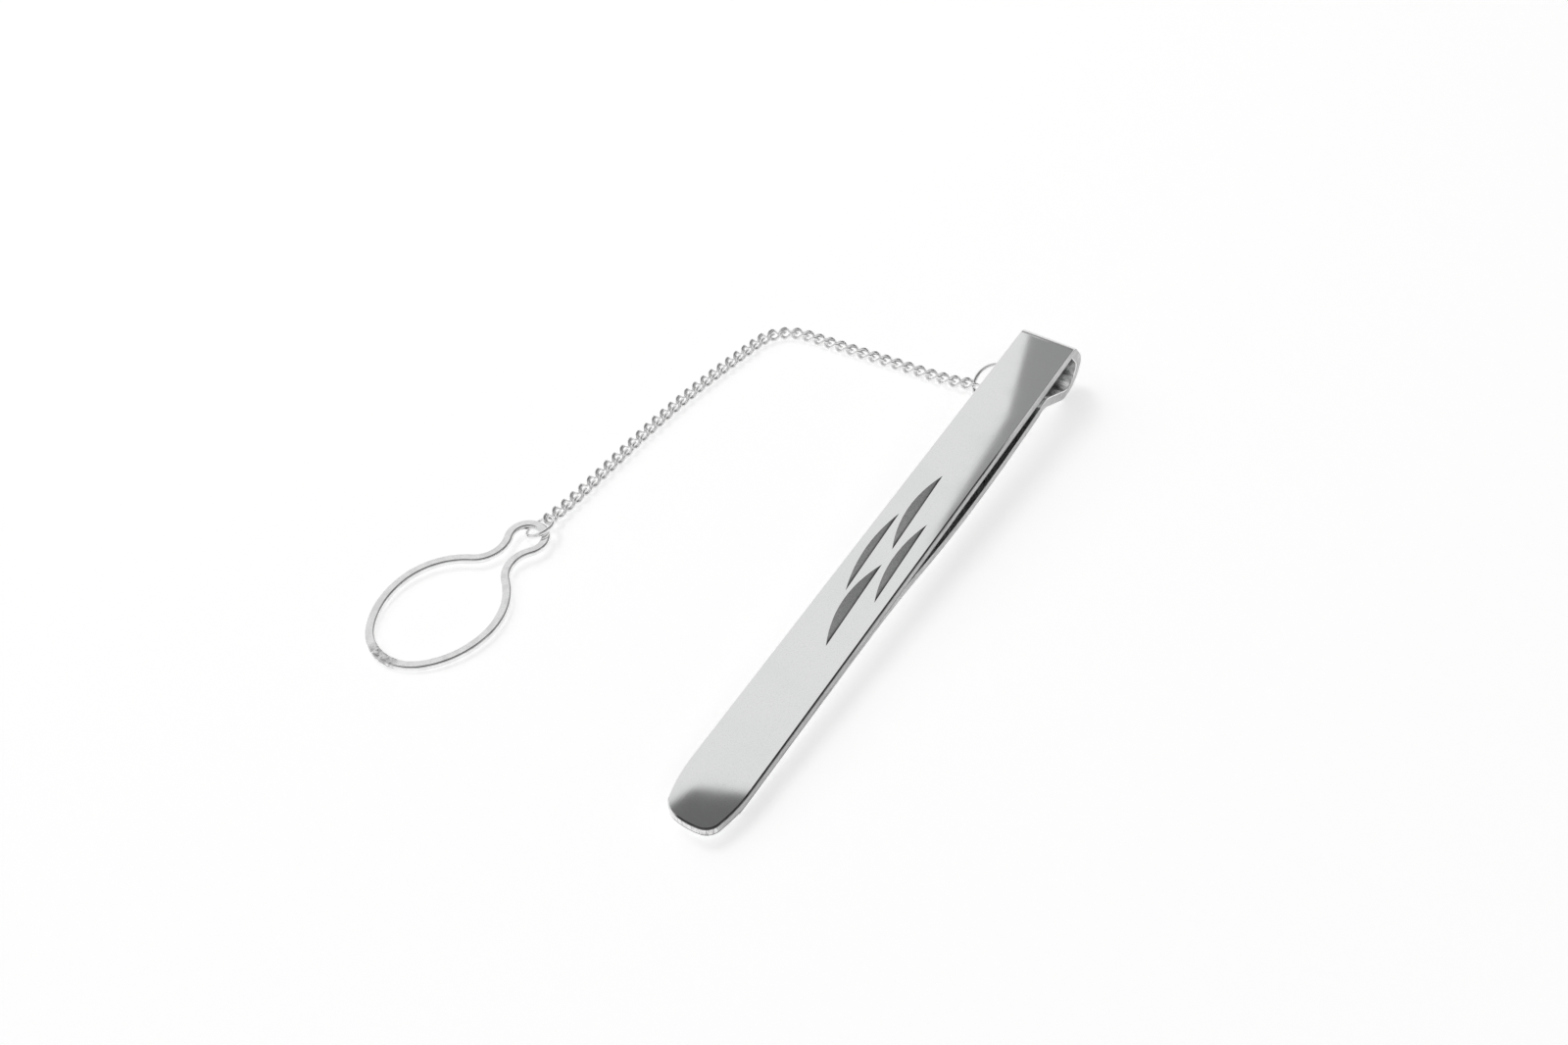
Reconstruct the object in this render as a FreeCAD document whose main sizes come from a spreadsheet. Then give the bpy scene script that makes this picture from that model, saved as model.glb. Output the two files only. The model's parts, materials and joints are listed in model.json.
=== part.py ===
"""Tie clip with a safety chain and a button loop, in millimetres.

One strip is folded back on itself: a flat front bar, a spring bend and a back leaf that closes
on the bar. A jump ring in the bend carries a curb chain, and a second ring joins the chain to a
wire loop that goes over a shirt button. The part lies on a table at Z = 0, with +X along the bar
towards the bend, +Y on the chain's side, and the origin under the middle of the clip.
"""
import FreeCAD
import Part
import math
import os

Vector = FreeCAD.Vector

SIZES = (
    # the folded strip
    ("strip_width", 5.8),
    ("strip_thickness", 1.1),
    ("bar_length", 63.1),
    ("tip_end_radius", 6.5),
    ("tip_corner_radius", 1.5),
    ("tip_corner_offset", 1.95),
    ("tip_side_radius", 14.0),
    ("bar_edge_radius", 0.12),
    # the bend, seen from the side: radii of the inner face, turns in degrees
    ("shoulder_inner_radius", 0.35),
    ("shoulder_turn", 52.0),
    ("shoulder_run", 2.0),
    ("fold_inner_radius", 1.54),
    ("fold_turn", 160.0),
    ("neck_run", 4.4),
    ("neck_radius", 3.0),
    # the back leaf
    ("leaf_drop_angle", 5.5),
    ("leaf_bow_radius", 130.0),
    ("leaf_ease_run", 21.3),
    ("leaf_bar_gap", 0.05),
    ("leaf_setback", 1.7),
    ("leaf_end_thickness", 0.7),
    ("leaf_end_width", 5.2),
    ("leaf_corner_radius", 2.0),
    # the engraved cuts in the bar's top
    ("cut_length", 10.1),
    ("cut_depth", 0.28),
    ("cut_width_first", 1.0),
    ("cut_width_left", 0.75),
    ("cut_width_right", 0.9),
    ("cut_width_last", 1.1),
    ("cut_turn", 2.2),
    ("cut_step_along", 6.0),
    ("cut_step_across", 1.41),
    ("cut_centre_from_bend", 32.4),
    ("cut_centre_offset", -0.23),
    # the two jump rings and the hole in the bend
    ("ring_wire", 0.42),
    ("clip_ring_diameter", 4.5),
    ("clip_ring_lean", 29.0),
    ("ring_hole_diameter", 2.1),
    ("ring_hole_edge", 1.5),
    ("ring_hole_share", 0.6),
    ("loop_ring_diameter", 2.8),
    ("loop_ring_lean", -29.0),
    ("loop_ring_slack", 0.8),
    # the curb chain
    ("link_count", 45),
    ("link_pitch", 1.3),
    ("link_wire", 0.28),
    ("link_bight_radius", 0.48),
    ("link_bight_runs", 8),
    ("link_play", 0.2),
    ("clip_end_lift", 0.35),
    ("loop_end_lift", 0.42),
    ("lift_links", 4),
    ("chain_turn_radius", 4.2),
    # the button loop, along its own axis from the far end to the head
    ("loop_length", 19.15),
    ("loop_cap_radius", 4.45),
    ("loop_half_width", 5.32),
    ("loop_widest_at", 6.7),
    ("loop_shoulder_radius", 6.8),
    ("loop_neck_radius", 2.84),
    ("loop_head_radius", 1.75),
    ("loop_neck_gap", 1.1),
    ("loop_wire_width", 0.88),
    ("loop_wire_height", 0.55),
    ("loop_wire_chamfer", 0.15),
    ("loop_turn", -5.5),
)

# the chain's way over the table from the clip, as turns of its middle line seen from above
CHAIN_WAY = (
    Vector(25.6, 7.5, 0.0),
    Vector(23.5, 28.0, 0.0),
    Vector(8.0, 30.0, 0.0),
    Vector(-16.0, 30.1, 0.0),
)

# a turn of the way sharper than twice this is a corner, and others are as round as their runs allow
SHARP_HALF_TURN = math.radians(20.0)
# the most of a run that an arc may take at one end, so that two arcs share a run
RUN_SHARE = 0.45
# a chord along the way is found by halving, between its own length and this many times it
LONGEST_STEP = 1.5
STEP_HALVINGS = 40
# lengths under this are taken as nothing
TINY = 1e-6
# the S of a link's side: shares of the way to a bight, and of its rise there
SIDE_STATIONS = ((1.0, 1.0), (0.55, 0.78), (-0.55, -0.78), (-1.0, -1.0))
RING_SIDES = 8
# how far cutting outlines reach past what they cut
CUT_MARGIN = 1.0

doc = FreeCAD.newDocument("TieClip")
sheet = doc.addObject("Spreadsheet::Sheet", "Sizes")
for row, (alias, value) in enumerate(SIZES, start=1):
    sheet.set(f"A{row}", alias)
    sheet.set(f"B{row}", str(value))
    sheet.setAlias(f"B{row}", alias)
doc.recompute()


def size(alias):
    """Read one driving dimension from the sheet."""
    return float(sheet.get(alias))


def flat(angle):
    """Give the unit vector at an angle in degrees from +X, in a drawing plane."""
    turn = math.radians(angle)
    return Vector(math.cos(turn), math.sin(turn), 0.0)


class StripPath:
    """The strip's inner face seen from the side, as lines and tangent arcs."""

    def __init__(self, point, heading):
        self.point = point
        self.heading = heading
        self.length = 0.0
        self.pieces = []

    def line(self, run):
        """Go straight on."""
        start = (self.point, self.heading, self.length)
        middle = (self.point + flat(self.heading) * (run / 2), self.heading, self.length + run / 2)
        self.point = self.point + flat(self.heading) * run
        self.length += run
        self.pieces.append((start, middle, (self.point, self.heading, self.length)))

    def arc(self, radius, turn):
        """Go round an arc; a positive turn is to the left."""
        side = math.copysign(90.0, turn)
        centre = self.point + flat(self.heading + side) * radius
        first = self.heading
        stations = []
        for share in (0.0, 0.5, 1.0):
            heading = first + turn * share
            point = centre - flat(heading + side) * radius
            stations.append((point, heading, self.length + radius * math.radians(abs(turn)) * share))
        self.point, self.heading, self.length = stations[-1]
        self.pieces.append(tuple(stations))


def strip_outline(pieces, thickness_at):
    """Close the inner face and the outer face of a strip into one outline.

    thickness_at gives the strip's thickness at a length along the inner face.
    """
    inner = []
    outer = []
    for piece in pieces:
        here = [point for point, heading, length in piece]
        there = [point + flat(heading + 90.0) * thickness_at(length) for point, heading, length in piece]
        bent = abs(piece[0][1] - piece[2][1]) > TINY
        for row, points in ((inner, here), (outer, there)):
            row.append(arc(*points) if bent else Part.LineSegment(points[0], points[2]))
    first, last = pieces[0][0], pieces[-1][2]
    ends = []
    for point, heading, length in (first, last):
        ends.append(Part.LineSegment(point, point + flat(heading + 90.0) * thickness_at(length)))
    return inner + outer + ends


def new_body(label):
    """Start a body under the name of its sub-part."""
    body = doc.addObject("PartDesign::Body", label)
    body.Label = label
    return body


def new_sketch(body, role, name, outline):
    """Draw an outline on one of the body's own origin planes."""
    sketch = body.newObject("Sketcher::SketchObject", name)
    plane = next(item for item in body.Origin.OriginFeatures if item.Role == role)
    sketch.AttachmentSupport = [(plane, "")]
    sketch.MapMode = "FlatFace"
    for edge in outline:
        sketch.addGeometry(edge, False)
    return sketch


def new_pad(body, sketch, name, length_size, middle=False, downward=False):
    """Pad a sketch by a size of the sheet."""
    pad = body.newObject("PartDesign::Pad", name)
    pad.Profile = sketch
    pad.setExpression("Length", f"Sizes.{length_size}")
    pad.Midplane = middle
    pad.Reversed = downward
    sketch.Visibility = False
    doc.recompute()
    return pad


def polygon(points):
    """Join points by straight lines into a closed outline."""
    return [Part.LineSegment(a, b) for a, b in zip(points, points[1:] + points[:1])]


def arc(first, middle, last):
    """Draw an arc through three points, always against the clock."""
    turn = (middle - first).cross(last - middle).z
    return Part.Arc(first, middle, last) if turn > 0 else Part.Arc(last, middle, first)


def mirrored(edges):
    """Mirror an outline's edges in the drawing's X axis."""
    copies = []
    for edge in edges:
        ends = (edge.FirstParameter, edge.LastParameter)
        points = []
        for parameter in (ends[0], (ends[0] + ends[1]) / 2, ends[1]):
            point = edge.value(parameter)
            points.append(Vector(point.x, -point.y, 0))
        straight = isinstance(edge, Part.LineSegment)
        copies.append(Part.LineSegment(points[0], points[2]) if straight else arc(*points))
    return copies


def circle_meeting(first, first_radius, second, second_radius):
    """Find where two circles meet on the left of the way from the first to the second."""
    way = second - first
    along = (way.Length ** 2 + first_radius ** 2 - second_radius ** 2) / (2 * way.Length)
    across = math.sqrt(first_radius ** 2 - along ** 2)
    unit = way * (1 / way.Length)
    return first + unit * along + Vector(-unit.y, unit.x, 0) * across


def arc_on(centre, radius, start, end):
    """Draw the shorter arc of a circle between two directions from its centre."""
    middle = start * (1 / start.Length) + end * (1 / end.Length)
    return arc(*[centre + way * (radius / way.Length) for way in (start, middle, end)])


# The strip's side view: x = 0 at the bend line, z = 0 on the bar's top.
thickness = size("strip_thickness")
half_width = size("strip_width") / 2
strip = StripPath(Vector(0, -thickness, 0), 0.0)
strip.arc(size("shoulder_inner_radius"), -size("shoulder_turn"))
strip.line(size("shoulder_run"))
fold_start = strip.point
strip.arc(size("fold_inner_radius"), -size("fold_turn"))
fold_centre = fold_start + flat(-size("shoulder_turn") - 90.0) * size("fold_inner_radius")
fold_outer_radius = size("fold_inner_radius") + thickness
neck_start = strip.point
neck_heading = strip.heading
strip.line(size("neck_run"))
falling = -180.0 + size("leaf_drop_angle")
strip.arc(size("neck_radius") + thickness, falling - strip.heading)
bend_pieces = list(strip.pieces)
leaf_start = strip.length
leaf_start_x = strip.point.x

strip.arc(size("leaf_bow_radius"), -size("leaf_drop_angle"))
leaf_rise = -thickness - size("leaf_bar_gap") - strip.point.y
ease_turn = 2 * math.degrees(math.atan2(leaf_rise, size("leaf_ease_run")))
ease_radius = size("leaf_ease_run") / (2 * math.sin(math.radians(ease_turn)))
strip.arc(ease_radius, -ease_turn)
strip.arc(ease_radius, ease_turn)
leaf_end_x = -size("bar_length") + size("leaf_setback")
strip.line(strip.point.x - leaf_end_x)
leaf_pieces = strip.pieces[len(bend_pieces):]
leaf_length = strip.length - leaf_start


def leaf_thickness(length):
    """Give the leaf's thickness, which falls evenly from the neck to the end."""
    share = (length - leaf_start) / leaf_length
    return thickness + (size("leaf_end_thickness") - thickness) * share


# The clip lies on its fold and on the end of its leaf, and the middle of its length is over the origin.
leaf_foot = Vector(leaf_end_x, -thickness - size("leaf_bar_gap") - size("leaf_end_thickness"), 0)
foot_to_fold = fold_centre - leaf_foot
lying_angle = math.asin(fold_outer_radius / foot_to_fold.Length)
lying_angle = lying_angle - math.atan2(foot_to_fold.y, foot_to_fold.x)
lie_cos = math.cos(lying_angle)
lie_sin = math.sin(lying_angle)
fold_reach = fold_centre.x * lie_cos - fold_centre.y * lie_sin + fold_outer_radius
tip_reach = -size("bar_length") * lie_cos
clip_place = FreeCAD.Placement(
    Vector(-(fold_reach + tip_reach) / 2, 0, -(leaf_foot.x * lie_sin + leaf_foot.y * lie_cos)),
    FreeCAD.Rotation(Vector(0, 1, 0), -math.degrees(lying_angle)),
)


def bar_outline():
    """Draw the bar from above: straight sides, drawn-in shoulders and a rounded tip."""
    end_radius = size("tip_end_radius")
    corner_radius = size("tip_corner_radius")
    side_radius = size("tip_side_radius")
    end_centre = Vector(-size("bar_length") + end_radius, 0, 0)
    corner_y = half_width - size("tip_corner_offset")
    corner_reach = math.sqrt((end_radius - corner_radius) ** 2 - corner_y ** 2)
    corner = Vector(end_centre.x - corner_reach, corner_y, 0)
    side_drop = half_width - side_radius
    side_run = math.sqrt((side_radius - corner_radius) ** 2 - (corner.y - side_drop) ** 2)
    side_centre = Vector(corner.x + side_run, side_drop, 0)
    half = [
        Part.LineSegment(Vector(0, half_width, 0), Vector(side_centre.x, half_width, 0)),
        arc_on(side_centre, side_radius, Vector(0, 1, 0), corner - side_centre),
        arc_on(corner, corner_radius, corner - side_centre, corner - end_centre),
        arc_on(end_centre, end_radius, corner - end_centre, Vector(-1, 0, 0)),
    ]
    bend_line = Part.LineSegment(Vector(0, -half_width, 0), Vector(0, half_width, 0))
    return half + mirrored(half) + [bend_line]


def add_cut(body, name, along, across):
    """Cut one engraved stroke with a wheel: an upright wall and a slope that runs out at both ends."""
    depth = size("cut_depth")
    half_chord = size("cut_length") / 2
    wheel_radius = (half_chord ** 2 + depth ** 2) / (2 * depth)
    axle = wheel_radius - depth
    over = depth
    slope_width = size(f"cut_width_{name}") * (depth + over) / depth
    turn = math.radians(size("cut_turn"))
    step_x = along * size("cut_step_along")
    step_y = across * size("cut_step_across")
    place_x = -size("cut_centre_from_bend") + step_x * math.cos(turn) - step_y * math.sin(turn)
    place_y = size("cut_centre_offset") + step_x * math.sin(turn) + step_y * math.cos(turn)
    profile = polygon([Vector(0, -depth, 0), Vector(slope_width, over, 0), Vector(0, over, 0)])
    sketch = new_sketch(body, "YZ_Plane", f"CutProfile_{name}", profile)
    sketch.addGeometry(Part.LineSegment(Vector(0, axle, 0), Vector(slope_width, axle, 0)), True)
    sketch.AttachmentOffset = FreeCAD.Placement(
        Vector(place_y, 0, place_x), FreeCAD.Rotation(Vector(0, 1, 0), size("cut_turn"))
    )
    doc.recompute()
    before = body.Shape.Volume
    cut = body.newObject("PartDesign::Groove", f"Cut_{name}")
    cut.Profile = sketch
    cut.ReferenceAxis = (sketch, ["Axis0"])
    cut.Angle = 360.0
    sketch.Visibility = False
    doc.recompute()
    if before - body.Shape.Volume <= 0:
        raise RuntimeError(f"the {name} engraved cut removed nothing")


def make_front_bar():
    """Pad the bar, break its top edge and cut the engraved strokes."""
    body = new_body("front_bar")
    sketch = new_sketch(body, "XY_Plane", "BarOutline", bar_outline())
    pad = new_pad(body, sketch, "BarPad", "strip_thickness", downward=True)
    rim = []
    for number, edge in enumerate(pad.Shape.Edges, start=1):
        middle = edge.CenterOfMass
        if abs(middle.z) < TINY and edge.BoundBox.XMin < -TINY:
            rim.append(f"Edge{number}")
    rounding = body.newObject("PartDesign::Fillet", "BarRim")
    rounding.Base = (pad, rim)
    rounding.setExpression("Radius", "Sizes.bar_edge_radius")
    doc.recompute()
    for name, along, across in (("first", 1, 0), ("left", 0, 1), ("right", 0, -1), ("last", -1, 0)):
        add_cut(body, name, along, across)
    body.Placement = clip_place
    return body


def ring_hole_place():
    """Find the ring's hole: its middle in the strip's thickness, and its axis along Z."""
    share = size("ring_hole_share")
    run = neck_start + flat(neck_heading) * (size("neck_run") * share)
    middle = run + flat(neck_heading + 90.0) * (thickness / 2)
    across = flat(neck_heading - 90.0)
    spot = Vector(middle.x, half_width - size("ring_hole_edge"), middle.y)
    axis = Vector(across.x, 0, across.y)
    return FreeCAD.Placement(spot, FreeCAD.Rotation(Vector(0, 0, 1), axis))


def make_spring_bend():
    """Pad the bend's side view over the strip's width and drill the ring's hole."""
    body = new_body("spring_bend")
    outline = strip_outline(bend_pieces, lambda length: thickness)
    sketch = new_sketch(body, "XZ_Plane", "BendProfile", outline)
    new_pad(body, sketch, "BendPad", "strip_width", middle=True)
    before = body.Shape.Volume
    hole = body.newObject("PartDesign::SubtractiveCylinder", "RingHole")
    hole.setExpression("Radius", "Sizes.ring_hole_diameter / 2")
    hole.setExpression("Height", "Sizes.strip_thickness * 2")
    place = ring_hole_place()
    hole.Placement = FreeCAD.Placement(place.multVec(Vector(0, 0, -thickness)), place.Rotation)
    doc.recompute()
    if before - body.Shape.Volume <= 0:
        raise RuntimeError("the ring's hole removed nothing")
    body.Placement = clip_place
    return body


def make_back_leaf():
    """Pad the leaf's side view, then trim it from above to its taper and rounded end."""
    body = new_body("back_leaf")
    sketch = new_sketch(body, "XZ_Plane", "LeafProfile", strip_outline(leaf_pieces, leaf_thickness))
    new_pad(body, sketch, "LeafPad", "strip_width", middle=True)
    end_half = size("leaf_end_width") / 2
    corner = size("leaf_corner_radius")
    taper = math.atan2(half_width - end_half, leaf_start_x - leaf_end_x)
    side = Vector(math.cos(taper), math.sin(taper), 0)
    round_x = leaf_end_x + corner
    side_y = end_half + corner * math.tan(taper)
    centre = Vector(round_x, side_y - corner / math.cos(taper), 0)
    touch = centre + Vector(-side.y, side.x, 0) * corner
    start = Vector(leaf_start_x + CUT_MARGIN, half_width + CUT_MARGIN * math.tan(taper), 0)
    half = [
        Part.LineSegment(start, touch),
        arc_on(centre, corner, touch - centre, Vector(-1, 0, 0)),
        Part.LineSegment(Vector(leaf_end_x, centre.y, 0), Vector(leaf_end_x, 0, 0)),
    ]
    neck_line = Part.LineSegment(Vector(start.x, -start.y, 0), start)
    low = Vector(leaf_end_x - CUT_MARGIN, -half_width - CUT_MARGIN, 0)
    high = Vector(start.x + CUT_MARGIN, half_width + CUT_MARGIN, 0)
    frame = polygon([low, Vector(high.x, low.y, 0), high, Vector(low.x, high.y, 0)])
    plan = new_sketch(body, "XY_Plane", "LeafPlan", half + mirrored(half) + [neck_line] + frame)
    doc.recompute()
    before = body.Shape.Volume
    trim = body.newObject("PartDesign::Pocket", "LeafTrim")
    trim.Profile = plan
    trim.Type = "ThroughAll"
    plan.Visibility = False
    doc.recompute()
    if before - body.Shape.Volume <= 0:
        raise RuntimeError("the leaf's trim removed nothing")
    body.Placement = clip_place
    return body


# The chain's sizes that follow from the link's wire, bight and pitch.
link_wire = size("link_wire")
bight_radius = size("link_bight_radius")
pitch = size("link_pitch")
link_half = (pitch + size("link_play") + link_wire) / 2
bight_x = link_half - bight_radius
bight_side = bight_radius * math.sqrt(0.5)
section_reach = link_wire * math.sqrt(0.5)
chain_height = bight_side + section_reach
ring_seat = link_half - link_wire / 2 - size("link_play") - size("ring_wire") / 2


def wire_section(middle):
    """Make the link's square wire section, standing on its corner across X, as an outline."""
    corners = []
    for y, z in ((1, 0), (0, 1), (-1, 0), (0, -1), (1, 0)):
        corners.append(middle + Vector(0, y, z) * section_reach)
    return Part.makePolygon(corners)


def make_bight(end):
    """Lay the wire round half a circle of short runs at one end of the link (end is 1 or -1)."""
    across = Vector(0, 1, -end) * math.sqrt(0.5)
    upright = Vector(0, end, 1) * math.sqrt(0.5)
    runs = int(size("link_bight_runs"))
    rims = []
    for radius in (bight_radius + link_wire / 2, bight_radius - link_wire / 2):
        rim = []
        for number in range(runs + 1):
            spoke = flat(180.0 * number / runs - 90.0) * radius
            rim.append(Vector(end * (bight_x + spoke.x), 0, 0) + across * spoke.y)
        rims.append(rim)
    corners = rims[0] + rims[1][::-1]
    face = Part.Face(Part.makePolygon(corners + corners[:1]))
    face.translate(upright * (-link_wire / 2))
    return face.extrude(upright * link_wire)


def make_side(side):
    """Lay one side of the link between the bights as an S of straight runs (side is 1 or -1)."""
    stations = []
    for along, rise in SIDE_STATIONS:
        stations.append(Vector(along * bight_x, side * bight_side, -side * rise * bight_side))
    return [Part.Face(wire_section(a)).extrude(b - a) for a, b in zip(stations, stations[1:])]


def make_link():
    """Join two bights at right angles to each other by the two sides of a curb link."""
    pieces = [make_bight(-1)] + make_side(1) + make_side(-1)
    return make_bight(1).multiFuse(pieces).removeSplitter()


class ChainWay:
    """The chain's middle line over the table, as straight runs joined by tangent arcs."""

    def __init__(self, corners, tight_radius):
        self.runs = []
        point = corners[0]
        for before, corner, after in zip(corners, corners[1:], corners[2:]):
            back = (before - corner).normalize()
            on = (after - corner).normalize()
            half_turn = (math.pi - back.getAngle(on)) / 2
            shorter = min((before - corner).Length, (after - corner).Length)
            widest = RUN_SHARE * shorter / math.tan(half_turn)
            radius = min(tight_radius, widest) if half_turn > SHARP_HALF_TURN else widest
            trim = radius * math.tan(half_turn)
            inward = (back + on).normalize()
            centre = corner + inward * (radius / math.cos(half_turn))
            start = corner + back * trim
            end = corner + on * trim
            middle = centre - inward * radius
            self.runs.append(Part.LineSegment(point, start))
            self.runs.append(Part.Arc(start, middle, end))
            point = end
        beyond = corners[-1] + (corners[-1] - point)
        self.runs.append(Part.LineSegment(point, beyond))

    def at(self, length):
        """Give the point at a length along the way."""
        for run in self.runs[:-1]:
            if length <= run.length():
                break
            length -= run.length()
        else:
            run = self.runs[-1]
        return run.value(run.parameterAtDistance(length, run.FirstParameter))

    def steps(self, step, count):
        """Walk along the way in equal straight steps and give the points passed."""
        length = 0.0
        points = [self.at(length)]
        for _ in range(count):
            low = length + step
            high = length + LONGEST_STEP * step
            for _ in range(STEP_HALVINGS):
                length = (low + high) / 2
                if (self.at(length) - points[-1]).Length < step:
                    low = length
                else:
                    high = length
            points.append(self.at(length))
        return points


def chain_lift(number):
    """Give a hinge's height: the chain lies on the table and climbs to the ring at either end."""
    reach = size("lift_links")
    from_clip = max(0.0, 1 - number / reach) ** 2
    from_loop = max(0.0, 1 - (link_count - number) / reach) ** 2
    return chain_height + size("clip_end_lift") * from_clip + size("loop_end_lift") * from_loop


def axes_place(base, x_axis, y_axis):
    """Make the placement that turns X and Y to two square directions."""
    z_axis = x_axis.cross(y_axis)
    matrix = FreeCAD.Matrix(
        x_axis.x, y_axis.x, z_axis.x, base.x,
        x_axis.y, y_axis.y, z_axis.y, base.y,
        x_axis.z, y_axis.z, z_axis.z, base.z,
        0, 0, 0, 1,
    )
    return FreeCAD.Placement(matrix)


def ring_place(near, way, radius, lean):
    """Place a ring: its wire passes through a point, and from there the ring lies along a way.

    lean is how far the ring is turned up about that way, in degrees from lying flat.
    """
    level = Vector(way.y, -way.x, 0).normalize()
    upward = level.cross(way)
    turn = math.radians(lean)
    return axes_place(near + way * radius, way, level * math.cos(turn) + upward * math.sin(turn))


# The clip ring hangs in its hole and reaches over to the first link.
link_count = int(size("link_count"))
hole_point = clip_place.multiply(ring_hole_place()).Base
ring_share = 0.5 - ring_seat / pitch
ring_end_height = chain_lift(0) + (chain_lift(1) - chain_lift(0)) * ring_share
clip_way = CHAIN_WAY[0] - Vector(hole_point.x, hole_point.y, 0)
clip_rise = (ring_end_height - hole_point.z) / size("clip_ring_diameter")
clip_way = clip_way.normalize() * math.sqrt(1 - clip_rise ** 2)
clip_end = hole_point + (clip_way + Vector(0, 0, clip_rise)) * size("clip_ring_diameter")
clip_ring_place = ring_place(
    hole_point, clip_way + Vector(0, 0, clip_rise), size("clip_ring_diameter") / 2, size("clip_ring_lean")
)

# The links hinge on each other at equal steps along the way.
way_start = Vector(clip_end.x, clip_end.y, 0) - clip_way.normalize() * (pitch * ring_share)
hinges = ChainWay((way_start,) + CHAIN_WAY, size("chain_turn_radius")).steps(pitch, link_count)
hinges = [Vector(point.x, point.y, chain_lift(number)) for number, point in enumerate(hinges)]
link_places = []
for near, far in zip(hinges, hinges[1:]):
    heading = (near - far).normalize()
    link_places.append(axes_place((near + far) / 2, heading, Vector(-heading.y, heading.x, 0).normalize()))

# The loop ring takes the last link, and its far side lies inside the loop's head.
loop_ring_radius = size("loop_ring_diameter") / 2
chain_end = link_places[-1].multVec(Vector(-ring_seat, 0, 0))
loop_way = hinges[-1] - hinges[-2]
loop_way = Vector(loop_way.x, loop_way.y, 0).normalize()
loop_ring_place = ring_place(chain_end, loop_way, loop_ring_radius, size("loop_ring_lean"))
head_reach = 2 * loop_ring_radius - size("ring_wire") / 2 - size("loop_ring_slack")
head_point = chain_end + loop_way * (head_reach - size("loop_wire_width") / 2)


def loop_outline(offset):
    """Draw the loop's outline at an offset from its wire's middle line, as tangent arcs.

    The shoulder starts at the widest place. In a longer loop the sides run straight on from there, to
    where the neck closes to its gap.
    """
    cap_radius = size("loop_cap_radius")
    half = size("loop_half_width")
    widest = size("loop_widest_at")
    shoulder_radius = size("loop_shoulder_radius")
    neck_radius = size("loop_neck_radius")
    head_radius = size("loop_head_radius")
    side_radius = (widest - cap_radius) ** 2 + half ** 2 - cap_radius ** 2
    side_radius = side_radius / (2 * (half - cap_radius))
    cap = Vector(cap_radius, 0, 0)
    side = Vector(widest, half - side_radius, 0)
    head = Vector(size("loop_length") - head_radius, 0, 0)
    neck_reach = head_radius + neck_radius
    shoulder_reach = shoulder_radius + neck_radius
    closed = (size("loop_neck_gap") + size("loop_wire_width")) / 2
    closed_neck = head.x - math.sqrt(neck_reach ** 2 - (neck_radius + closed) ** 2)
    closed_shoulder = closed_neck - math.sqrt(shoulder_reach ** 2 - (shoulder_reach - half + closed) ** 2)
    shoulder = Vector(max(widest, closed_shoulder), half - shoulder_radius, 0)
    neck = circle_meeting(shoulder, shoulder_reach, head, neck_reach)
    upward = Vector(0, 1, 0)
    edges = [
        arc_on(cap, cap_radius + offset, Vector(-1, 0, 0), cap - side),
        arc_on(side, side_radius + offset, cap - side, upward),
        arc_on(shoulder, shoulder_radius + offset, upward, neck - shoulder),
        arc_on(neck, neck_radius - offset, shoulder - neck, head - neck),
        arc_on(head, head_radius + offset, neck - head, Vector(1, 0, 0)),
    ]
    if shoulder.x - widest > TINY:
        run_end = Vector(shoulder.x, half + offset, 0)
        edges.append(Part.LineSegment(Vector(widest, half + offset, 0), run_end))
    return edges + mirrored(edges)


def loop_place():
    """Place the loop: its head in the ring, its far end down on the table."""
    reach = size("loop_length") + size("loop_wire_width") / 2
    half_height = size("loop_wire_height") / 2
    slope = math.asin(head_point.z / math.hypot(reach, half_height)) - math.atan2(half_height, reach)
    turned = FreeCAD.Rotation(Vector(0, 0, 1), size("loop_turn")).multVec(loop_way)
    to_head = Vector(-turned.x * math.cos(slope), -turned.y * math.cos(slope), math.sin(slope))
    across = Vector(-to_head.y, to_head.x, 0).normalize()
    return axes_place(head_point - to_head * size("loop_length"), to_head, across)


def make_button_loop():
    """Pad the loop's flattened wire and break its edges."""
    body = new_body("button_loop")
    half_wire = size("loop_wire_width") / 2
    sketch = new_sketch(body, "XY_Plane", "LoopOutline", loop_outline(half_wire) + loop_outline(-half_wire))
    pad = new_pad(body, sketch, "LoopPad", "loop_wire_height", middle=True)
    rims = []
    for number, edge in enumerate(pad.Shape.Edges, start=1):
        if edge.BoundBox.ZLength < TINY:
            rims.append(f"Edge{number}")
    rounding = body.newObject("PartDesign::Chamfer", "LoopRims")
    rounding.Base = (pad, rims)
    rounding.setExpression("Size", "Sizes.loop_wire_chamfer")
    doc.recompute()
    body.Placement = loop_place()
    return body


def make_ring(label, diameter_size, place):
    """Turn a jump ring's wire, eight-sided and as thick as round wire, about the ring's axis."""
    body = new_body(label)
    middle = Vector(size(diameter_size) / 2, 0, 0)
    reach = size("ring_wire") / 2
    corners = [middle + flat(360.0 / RING_SIDES * number) * reach for number in range(RING_SIDES)]
    sketch = new_sketch(body, "XZ_Plane", f"{label}_section", polygon(corners))
    ring = body.newObject("PartDesign::Revolution", f"{label}_turn")
    ring.Profile = sketch
    ring.ReferenceAxis = (sketch, ["V_Axis"])
    ring.Angle = 360.0
    sketch.Visibility = False
    doc.recompute()
    body.Placement = place
    return body


def make_chain():
    """Set the same link along the chain, from the clip to the loop."""
    shape = make_link()
    links = []
    for number, place in enumerate(link_places, start=1):
        label = f"chain_link_{number:02d}"
        link = doc.addObject("Part::Feature", label)
        link.Label = label
        link.Shape = shape.copy()
        link.Placement = place
        links.append(link)
    return links


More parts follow.
